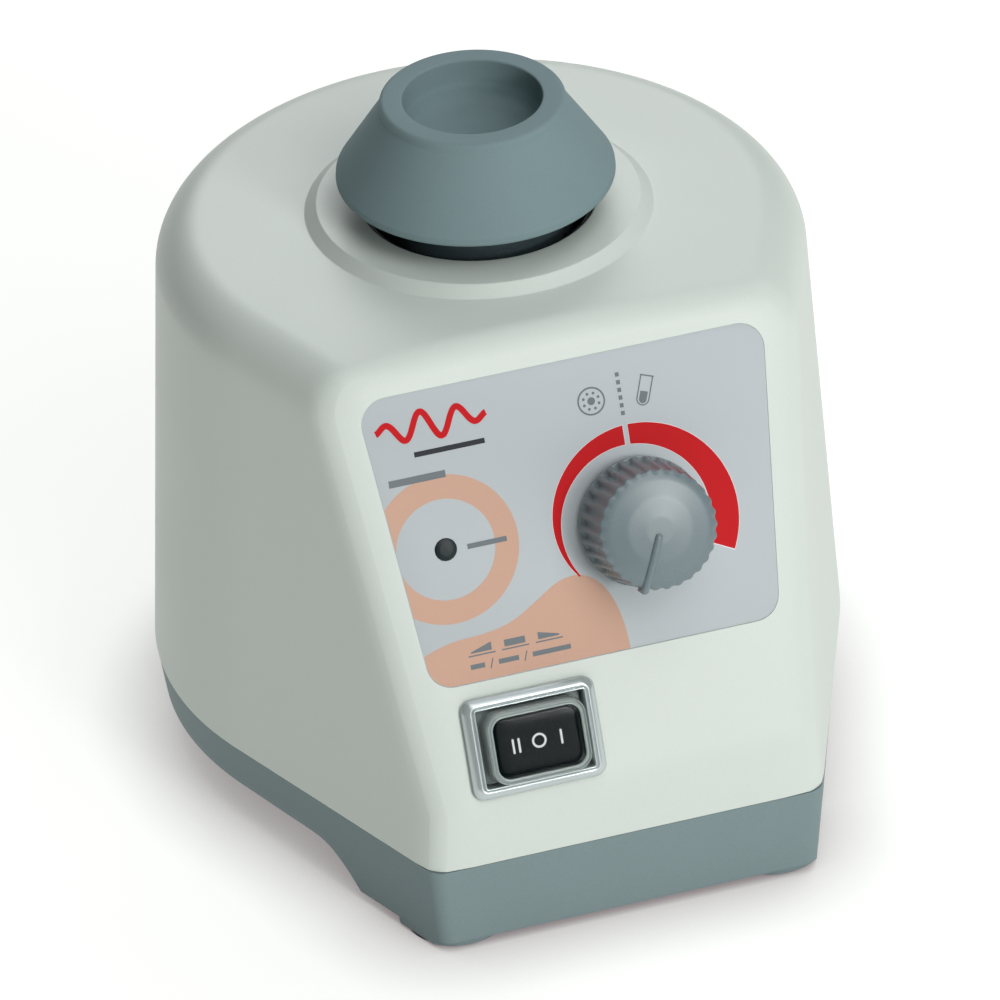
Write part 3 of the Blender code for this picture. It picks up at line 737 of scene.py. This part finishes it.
# ------------------------------------------------------------ label and its generic print
def film():
    ob = prism("label_film", fillet(LABEL, LABEL_R, 10), N_FILM - 0.22, N_FILM, PANEL, edge=0.05, n=2)
    holes = [lathe("knob_hole", [(0, -2), (6.6, -2), (6.6, 3), (0, 3)], 48, panel_at(KNOB_U, KNOB_V)),
             lathe("lamp_hole", [(0, -2), (2.08, -2), (2.08, 3), (0, 3)], 48, panel_at(LAMP_U, LAMP_V))]
    boolean(ob, holes, 'DIFFERENCE')
    soften(ob, 30)
    put(ob, "housing", FILM, ["control_label"])


film()


def clip_half(pts, a, b, c):
    """keeps the part of an outline where a*x + b*y <= c"""
    out = []
    for p, q in zip(pts, pts[1:] + pts[:1]):
        dp, dq = a * p[0] + b * p[1] - c, a * q[0] + b * q[1] - c
        if dp <= 0:
            out.append(p)
        if (dp < 0 < dq) or (dq < 0 < dp):
            t = dp / (dp - dq)
            out.append((p[0] + (q[0] - p[0]) * t, p[1] + (q[1] - p[1]) * t))
    return out


def clip_to(pts, hull):
    """keeps the part of an outline inside a convex counter-clockwise hull"""
    for p, q in zip(hull, hull[1:] + hull[:1]):
        dx, dy = q[0] - p[0], q[1] - p[1]
        if abs(dx) + abs(dy) < 1e-6:
            continue
        pts = clip_half(pts, dy, -dx, dy * p[0] - dx * p[1])
        if not pts:
            break
    return pts


FILM_EDGE = inset(fillet(LABEL, LABEL_R, 10), 0.12)


def area_of(pts):
    """twice the signed area of an outline"""
    return sum(p[0] * q[1] - q[0] * p[1] for p, q in zip(pts, pts[1:] + pts[:1]))


def strips(name, bands, mat, h=0.02):
    """one flat print made of quads; each band is two rows of points of equal length"""
    verts, faces = [], []
    for row_a, row_b in bands:
        for k in range(len(row_a) - 1):
            quad = clip_to([row_a[k], row_a[k + 1], row_b[k + 1], row_b[k]], FILM_EDGE)
            if len(quad) < 3 or abs(area_of(quad)) < 1e-5:
                continue
            i = len(verts)
            verts += [(x, y, N_FILM + h) for x, y in quad]
            faces.append(tuple(range(i, i + len(quad))))
    ob = mesh_object(name, verts, faces, PANEL, sharp=None)
    bm = bmesh.new()
    bm.from_mesh(ob.data)
    bmesh.ops.remove_doubles(bm, verts=bm.verts[:], dist=1e-6)
    for f in bm.faces:
        f.normal_update()
    out = PANEL.to_3x3() @ Vector((0, 0, 1))
    bmesh.ops.reverse_faces(bm, faces=[f for f in bm.faces if f.normal.dot(out) < 0])
    bm.to_mesh(ob.data)
    bm.free()
    return put(ob, "housing", mat)


def polar(cu, cv, r, a):
    """point at a clock angle from up, in degrees"""
    w = math.radians(a)
    return (cu + r * math.sin(w), cv + r * math.cos(w))


# red speed scale: one circle inside, the band widening clockwise, split by a narrow gap
CU, CV, R_IN = 9.28, 46.40, 14.05                       # its centre and inner radius


def r_out(a):
    """outer radius of the scale at a clock angle"""
    t = min(1.0, max(0.0, (a + 121) / 238))
    return 14.4 + 4.98 * (1 - (1 - t) ** 1.45)


def scale_band(end, side, grow=0.0, n=64):
    """part of the scale from a clock angle to the gap's edge at u = side, widened by grow"""
    ri = R_IN - grow
    near = [math.degrees(math.asin((side - CU) / r)) for r in (ri, r_out(0) + grow)]
    start, stop = ((end, end), near) if end < 0 else (near, (end, end))
    rows = ([], [])
    for k in range(n + 1):
        t = k / n
        ai, ao = start[0] + (stop[0] - start[0]) * t, start[1] + (stop[1] - start[1]) * t
        rows[0].append(polar(CU, CV, ri, ai))
        rows[1].append(polar(CU, CV, r_out(ao) + grow, ao))
    return rows


rim = [scale_band(-123.6, 9.5 + 0.08, 0.09), scale_band(117.6, 10.45 - 0.08, 0.09)]
strips("print_scale_rim", rim, INK_PALE, h=0.008)
strips("print_scale", [scale_band(-123, 9.5), scale_band(117, 10.45)], INK_RED)


def ring_band(cu, cv, r0, r1, n):
    """full ring between two radii"""
    angs = [360 * k / n for k in range(n + 1)]
    return ([polar(cu, cv, r0, a) for a in angs], [polar(cu, cv, r1, a) for a in angs])


def bar_band(u, v, w, h):
    """level bar, from its middle and its width and height"""
    return ([(u - w / 2, v - h / 2), (u + w / 2, v - h / 2)],
            [(u - w / 2, v + h / 2), (u + w / 2, v + h / 2)])


def line_band(pts, width):
    """open line of even width"""
    a, b = [], []
    for k, p in enumerate(pts):
        q0, q1 = pts[max(k - 1, 0)], pts[min(k + 1, len(pts) - 1)]
        d = Vector((q1[0] - q0[0], q1[1] - q0[1])).normalized()
        a.append((p[0] - d.y * width / 2, p[1] + d.x * width / 2))
        b.append((p[0] + d.y * width / 2, p[1] - d.x * width / 2))
    return (b, a)


# pale decoration: a plain ring round the lamp and a rolling wave along the lower left
wave = smoother([(-38.5, 27.6), (-34.0, 30.2), (-28.1, 31.9), (-22.2, 32.0), (-16.4, 33.0), (-11.0, 36.2),
                 (-6.6, 38.9), (-2.4, 39.2), (0.9, 37.0), (3.0, 33.2), (4.2, 28.4), (4.6, 22.0)], 3)
strips("print_wave", [([(u, min(v, 20.0)) for u, v in wave], wave)], INK_PEACH, h=0.012)
strips("print_ring", [ring_band(LAMP_U, LAMP_V, 9.2, 13.6, 120)], INK_PEACH, h=0.012)

# generic red waveform in the top left corner, with two plain bars under it
sine = []
for k in range(97):
    t = k / 96
    height = 2.6 * math.sin(2 * math.pi * 3 * t) * math.sin(math.pi * t) ** 0.6
    sine.append((-35.6 + 20.6 * t, 71.6 + height))
strips("print_waveform", [line_band(sine, 1.15)], INK_RED)
strips("print_bar_dark", [bar_band(-22.6, 66.6, 13.2, 0.95)], INK_DARK)
strips("print_bar_grey", [bar_band(-29.4, 62.2, 10.6, 1.3)], INK_GREY)

# symbols over the knob: a round tray, a dashed divider, a tilted tube
TRAY_U, TRAY_V = 4.55, 69.5
tray = [ring_band(TRAY_U, TRAY_V, 2.28, 2.6, 64), ring_band(TRAY_U, TRAY_V, 0.0, 0.72, 32)]
for k in range(8):
    u, v = polar(TRAY_U, TRAY_V, 1.5, 22.5 + 45 * k)
    tray.append(ring_band(u, v, 0.0, 0.27, 16))
strips("print_tray_symbol", tray, INK_GREY)
strips("print_divider", [bar_band(10.0, 66.2 + 1.42 * k, 0.72, 0.78) for k in range(6)], INK_GREY)


def in_tube(across, along):
    """point measured from the middle of the tube's lower end"""
    return tuple(Vector((14.0, 67.8)) + Vector((0.944, -0.33)) * across + Vector((0.33, 0.944)) * along)


def tube_bottom(r, level):
    """half circle across the tube's lower end"""
    angs = [math.radians(t) for t in range(0, 181, 15)]
    return [in_tube(r * math.cos(w), level - r * math.sin(w)) for w in angs]


tube = [line_band([in_tube(w, 0.2), in_tube(w, 4.4)], 0.24) for w in (-1.12, 1.12)]
tube.append(line_band([in_tube(-1.3, 4.45), in_tube(1.3, 4.45)], 0.26))
tube.append(line_band(tube_bottom(1.12, 0.2), 0.24))
tube.append(([in_tube(0.72, t) for t in (0.1, 1.6)], [in_tube(-0.72, t) for t in (0.1, 1.6)]))
low = tube_bottom(0.72, 0.1)
tube.append(([in_tube(0, 0.1)] * len(low), low))
strips("print_tube_symbol", tube, INK_GREY)

# speed ramps for the three switch positions, each over a base line
ramps = []
for k, (h0, h1) in enumerate(((0.25, 1.5), (1.25, 1.25), (1.35, 0.3))):
    u0 = -25.4 + 6.35 * k
    u1, u2 = u0 + 0.55, u0 + 4.5
    ramps.append(([(u0, 28.4), (u0 + 5.1, 28.4)], [(u0, 28.66), (u0 + 5.1, 28.66)]))
    ramps.append(([(u1, 29.0), (u2, 29.0)], [(u1, 29.0 + h0), (u2, 29.0 + h1)]))
strips("print_ramps", ramps, INK_GREY)

# plain bars in place of the captions beside the lamp and under the ramps
strips("print_bar_lamp", [bar_band(-18.6, 48.3, 7.4, 0.95)], INK_GREY)
captions = [bar_band(u, 26.55, w, 0.9) for u, w in ((-23.95, 2.7), (-18.1, 3.8), (-10.0, 7.2))]
captions += [line_band([(u - 0.32, 25.65), (u + 0.32, 27.45)], 0.24) for u in (-21.3, -14.9)]
strips("print_bar_modes", captions, INK_GREY)

# ------------------------------------------------------------ lamp
prof = fillet([(0, -7.5), (2.0, -7.5), (2.0, 0.02), (1.2, 0.16), (0, 0.2)], [0, 0, 0.12, 0.5, 0], 5,
              closed=False)
lamp = lathe("lamp_dome", prof, 40, panel_at(LAMP_U, LAMP_V), closed=False)
put(lamp, "housing", LAMP, ["lamp_lens"])

# ------------------------------------------------------------ rocker switch
SW = panel_at(SW_U, SW_V)


def frame_loops(prof, n=8):
    """prof rows: half width, half height, level, corner radius"""
    return [[(x, y, z) for x, y in rect(0, 0, 2 * a, 2 * b, r, n)] for a, b, z, r in prof]


bezel = [(11.0, 8.0, -5.9, 0.6), (11.0, 8.0, 0.12, 0.6), (11.7, 8.4, 0.12, 1.8), (11.75, 8.45, 0.46, 1.8),
         (12.4, 9.1, 0.52, 2.2), (12.56, 9.26, 0.6, 2.25), (12.6, 9.3, 0.8, 2.25), (12.45, 9.15, 1.05, 2.2),
         (12.2, 8.9, 1.34, 2.05), (11.85, 8.6, 1.6, 1.85), (11.5, 8.3, 1.78, 1.6), (11.2, 8.05, 1.86, 1.35),
         (10.95, 7.82, 1.84, 1.1), (10.8, 7.68, 1.72, 0.95), (10.7, 7.6, 1.6, 0.85), (10.64, 7.54, 1.66, 0.8),
         (10.6, 7.5, 1.95, 0.7), (10.52, 7.43, 2.04, 0.55), (10.38, 7.3, 2.06, 0.45),
         (10.28, 7.21, 1.98, 0.4), (10.22, 7.16, 1.7, 0.35), (10.2, 7.15, 0.8, 0.3), (10.2, 7.15, -5.9, 0.3)]
ob = loft("switch_frame", frame_loops(bezel), SW, closed=True, sharp=50)
put(ob, "housing", BEZEL, ["switch_bezel"])

# soft clear boot: a skirt standing round the rocker, with a thin window on top
skirt = [(9.9, 6.85, -5.5, 0.8), (9.9, 6.85, -0.55, 0.9), (9.75, 6.82, -0.3, 1.2), (9.55, 6.78, -0.05, 2.2),
         (9.46, 6.75, 0.4, 2.8), (9.42, 6.72, 1.6, 3.0), (9.38, 6.7, 3.0, 3.0), (9.35, 6.68, 4.2, 3.0),
         (9.3, 6.63, 4.55, 2.95), (9.2, 6.53, 4.76, 2.9), (9.1, 6.43, 4.86, 2.82), (9.0, 6.33, 4.8, 2.75),
         (8.95, 6.28, 4.46, 2.7), (8.84, 6.17, 4.4, 2.62), (8.72, 6.05, 4.46, 2.55), (8.66, 5.99, 4.84, 2.5),
         (8.52, 5.87, 4.92, 2.42), (8.36, 5.71, 4.84, 2.32), (8.27, 5.62, 4.66, 2.3), (8.27, 5.62, 4.42, 2.3),
         (8.6, 5.95, 4.3, 2.5), (8.88, 6.22, 4.05, 2.7), (8.96, 6.3, 3.6, 2.75), (9.0, 6.33, 1.5, 2.7),
         (9.05, 6.35, -0.9, 2.2), (9.45, 6.48, -1.2, 0.8), (9.45, 6.48, -5.5, 0.8)]
ob = loft("switch_boot_skirt", frame_loops(skirt, 10), SW, closed=True, sharp=60)
put(ob, "housing", SKIRT, ["switch_cover"])
window = [(3.4, 2.2, 4.7, 0.9), (6.4, 4.2, 4.66, 1.7), (8.0, 5.35, 4.56, 2.2), (8.24, 5.6, 4.5, 2.3),
          (8.24, 5.6, 4.62, 2.3), (8.0, 5.35, 4.68, 2.2), (6.4, 4.2, 4.76, 1.7), (3.4, 2.2, 4.8, 0.9)]
put(loft("switch_boot_window", frame_loops(window, 10), SW, sharp=40), "housing", CLEAR)

N_ROCKER = 3.3                                          # middle of the rocker's face
cap = [(2.6, 5.0, -5.2, 0.6), (5.2, 5.3, -3.6, 1.0), (7.9, 5.5, -1.4, 1.8), (8.15, 5.6, -0.2, 2.1),
       (8.2, 5.6, 1.4, 2.2), (8.2, 5.6, 2.5, 2.2), (8.17, 5.57, 2.78, 2.2), (8.05, 5.45, 3.03, 2.1),
       (7.85, 5.25, 3.2, 2.0), (7.55, 4.95, 3.3, 1.8), (7.2, 4.6, N_ROCKER + 0.02, 1.6),
       (5.6, 3.4, N_ROCKER, 1.2), (3.0, 1.8, N_ROCKER, 0.8)]
put(loft("rocker_cap", frame_loops(cap), SW, sharp=45), "power_rocker", ROCKER, ["rocker"])

# white marks laid on the rocker's face
FACE = SW @ Matrix.Translation((0, 0, N_ROCKER))
marks = [prism(name, rect(u, -0.14, 0.4, 2.7, 0.1, 2), 0.005, 0.06, FACE, sharp=30)
         for name, u in (("mark_two_a", -4.58), ("mark_two_b", -3.48), ("mark_one", 4.47))]
ring = [(1.36, 0.005), (1.36, 0.06), (0.97, 0.06), (0.97, 0.005)]
marks.append(lathe("mark_off", ring, 48, FACE @ Matrix.Translation((0.3, 0, 0))))
for ob in marks:
    put(ob, "power_rocker", INK_WHITE)

# ------------------------------------------------------------ inner pieces and their materials
KEEP = {"switch_body": BLACK, "switch_tab": BRASS, "pot_body": STEEL, "pot_nut": STEEL, "pot_shaft": ALU,
        "control_board": BOARD, "board_capacitor": BLACK, "board_triac": BLACK, "board_heat_sink": ALU,
        "inlet_body": BLACK, "inlet_pin_line": BRASS, "inlet_pin_neutral": BRASS, "inlet_pin_earth": BRASS,
        "fuse_drawer": BLACK, "fuse": FUSE, "ballast_plate": STEEL, "lower_bracket": ALU,
        "upper_bracket": ALU, "lower_bearing": STEEL, "upper_bearing": STEEL, "stator": IRON,
        "winding_lower": COPPER, "winding_upper": COPPER, "rotor": IRON, "motor_shaft": STEEL,
        "crank_hub": STEEL, "head_bearing": STEEL, "press_spring": STEEL, "plunger": NYLON,
        "touch_switch": BLACK, "touch_lever": STEEL, "rating_plate": PLATE}
for k in range(1, 5):
    KEEP["damper_%d" % k] = RUBBER
    KEEP["pillar_%d" % k] = STEEL
# pieces that get a copy with rounded edges: the radius
ROUNDED = {"inlet_body": 0.4, "fuse_drawer": 0.35, "board_capacitor": 0.25, "board_heat_sink": 0.2,
           "board_triac": 0.2, "touch_switch": 0.3, "ballast_plate": 0.4, "switch_body": 0.3,
           "upper_bracket": 0.3, "lower_bracket": 0.3, "control_board": 0.12, "pot_body": 0.25,
           "head_bearing": 0.2, "upper_bearing": 0.2, "lower_bearing": 0.2, "stator": 0.25, "rotor": 0.2,
           "inlet_pin_line": 0.3, "inlet_pin_neutral": 0.3, "inlet_pin_earth": 0.3, "rating_plate": 0.06,
           "touch_lever": 0.08, "crank_hub": 0.2}
BODY_OF = {"head_bearing": "mixing_head", "rotor": "motor_rotor", "crank_hub": "motor_rotor",
           "fuse_drawer": "fuse_holder", "touch_lever": "switch_lever"}


def rounded_copy(name, width):
    """copy of a CAD piece with its hard edges rounded"""
    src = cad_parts[name]
    me = src.data.copy()
    ob = link(name + "_rounded", me)
    ob.matrix_world = src.matrix_world.copy()
    bm = bmesh.new()
    bm.from_mesh(me)
    bmesh.ops.remove_doubles(bm, verts=bm.verts[:], dist=1e-6)
    bmesh.ops.dissolve_limit(bm, angle_limit=math.radians(0.6), verts=bm.verts[:], edges=bm.edges[:])
    bm.to_mesh(me)
    bm.free()
    me.materials.clear()
    bevel(ob, width)
    soften(ob, 32)
    return put(ob, BODY_OF.get(name, "housing"), KEEP[name], [name])


for name, width in ROUNDED.items():
    rounded_copy(name, width)


def coil():
    """return spring: round wire with closed ends, standing just clear of the hub's lowest stop"""
    turns, steps, sides = 4.6, 200, 10
    z_low, height, radius, wire = 81.25, 6.7, 5.6, 0.45
    rows = []
    for i in range(steps + 1):
        t = i / steps
        q = min(1.0, max(0.0, (t * turns - 0.7) / (turns - 1.4)))
        w, z = 2 * math.pi * turns * t, z_low + height * (q * q * (3 - 2 * q) * 0.35 + q * 0.65)
        row = []
        for j in range(sides):
            b = 2 * math.pi * j / sides
            r = radius + wire * math.cos(b)
            row.append((r * math.cos(w), r * math.sin(w), z + wire * math.sin(b)))
        rows.append(row)
    ob = loft("press_spring_coil", rows, AXIS, sharp=40)
    put(ob, "housing", STEEL, ["press_spring"])


coil()
for name, mat in KEEP.items():
    if name not in ROUNDED and name != "press_spring":
        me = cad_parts[name].data
        me.materials.clear()
        me.materials.append(mat)


# ------------------------------------------------------------ floor, light, camera
def stage():
    """pale floor whose own glow is dimmed near the object, as a soft contact shadow"""
    half, glow, reach, falloff = 4.0, 0.72, 0.019, 1.1
    me = bpy.data.meshes.new("floor")
    me.from_pydata([(-half, -half, 0), (half, -half, 0), (half, half, 0), (-half, half, 0)], [],
                   [(0, 1, 2, 3)])
    ob = link("floor", me)
    m = material("floor_pale", (0.4, 0.4, 0.4), 0.8, tone=0, tone_scale=3, spec=0.05)
    N, L = m.node_tree.nodes, m.node_tree.links
    b = next(n for n in N if n.type == 'BSDF_PRINCIPLED')
    ao = N.new('ShaderNodeAmbientOcclusion')
    ao.inputs['Distance'].default_value = reach
    ao.samples = 8
    curve = N.new('ShaderNodeMath')
    curve.operation = 'POWER'
    curve.inputs[1].default_value = falloff
    L.new(ao.outputs['AO'], curve.inputs[0])
    mix = N.new('ShaderNodeMix')
    mix.data_type = 'RGBA'
    mix.inputs[6].default_value = (0.18, 0.115, 0.13, 1)       # close to the object
    mix.inputs[7].default_value = (0.985, 1.01, 0.97, 1)       # away from it
    L.new(curve.outputs[0], mix.inputs[0])
    L.new(mix.outputs[2], b.inputs['Emission Color'])
    b.inputs['Emission Strength'].default_value = glow
    me.materials.append(m)


def area(name, loc, size, power, color=(1, 1, 1)):
    """square light turned towards the middle of the object"""
    li = bpy.data.lights.new(name, 'AREA')
    li.energy, li.color, li.size = power, color, size
    ob = link(name, li)
    ob.location = loc
    ob.rotation_euler = (Vector(loc) - Vector((0, 0, 0.06))).to_track_quat('Z', 'Y').to_euler()


stage()
area("key", (0.47, -1.34, 0.56), 0.3, 6.4)
area("front", (0.3, -1.5, 1.25), 0.9, 2.8)
area("front_right", (0.45, -1.25, 1.3), 0.9, 7.4)
area("high", (0.0, -0.75, 1.6), 0.9, 5.4)
area("low", (0.6, -1.5, 0.25), 0.7, 1.9)
area("top", (0.1, 0.1, 1.7), 1.2, 3.5, (0.96, 0.985, 1.05))
area("right", (0.95, 0.45, 1.6), 0.9, 5.4, (0.985, 0.99, 1.035))
area("rear", (0.3, 1.4, 0.9), 0.9, 8.4, (0.985, 1.0, 1.0))

world = bpy.data.worlds.new("world")
bpy.context.scene.world = world
world.use_nodes = True
sky = next(n for n in world.node_tree.nodes if n.type == 'BACKGROUND')
sky.inputs[0].default_value = (0.95, 0.97, 1.0, 1)
sky.inputs[1].default_value = 0.02

# a long lens from the front left, looking down; right, up and back are the camera's axes
cam = bpy.data.cameras.new("camera")
cam_ob = link("camera", cam)
right = Vector((0.94903222, -0.31291324, -0.03772472))
up = Vector((0.20335229, 0.51646243, 0.83181393))
back = Vector((-0.24080219, -0.79708962, 0.55377111))
rot = Matrix((right, up, back)).transposed().to_4x4()
cam_ob.matrix_world = Matrix.Translation((-0.46114, -1.53134 + AY * MM, 1.10673)) @ rot
cam.sensor_width = 36.0
cam.lens = 373.58
cam.clip_start, cam.clip_end = 0.05, 30
bpy.context.scene.camera = cam_ob
bpy.context.scene.view_settings.view_transform = 'Standard'
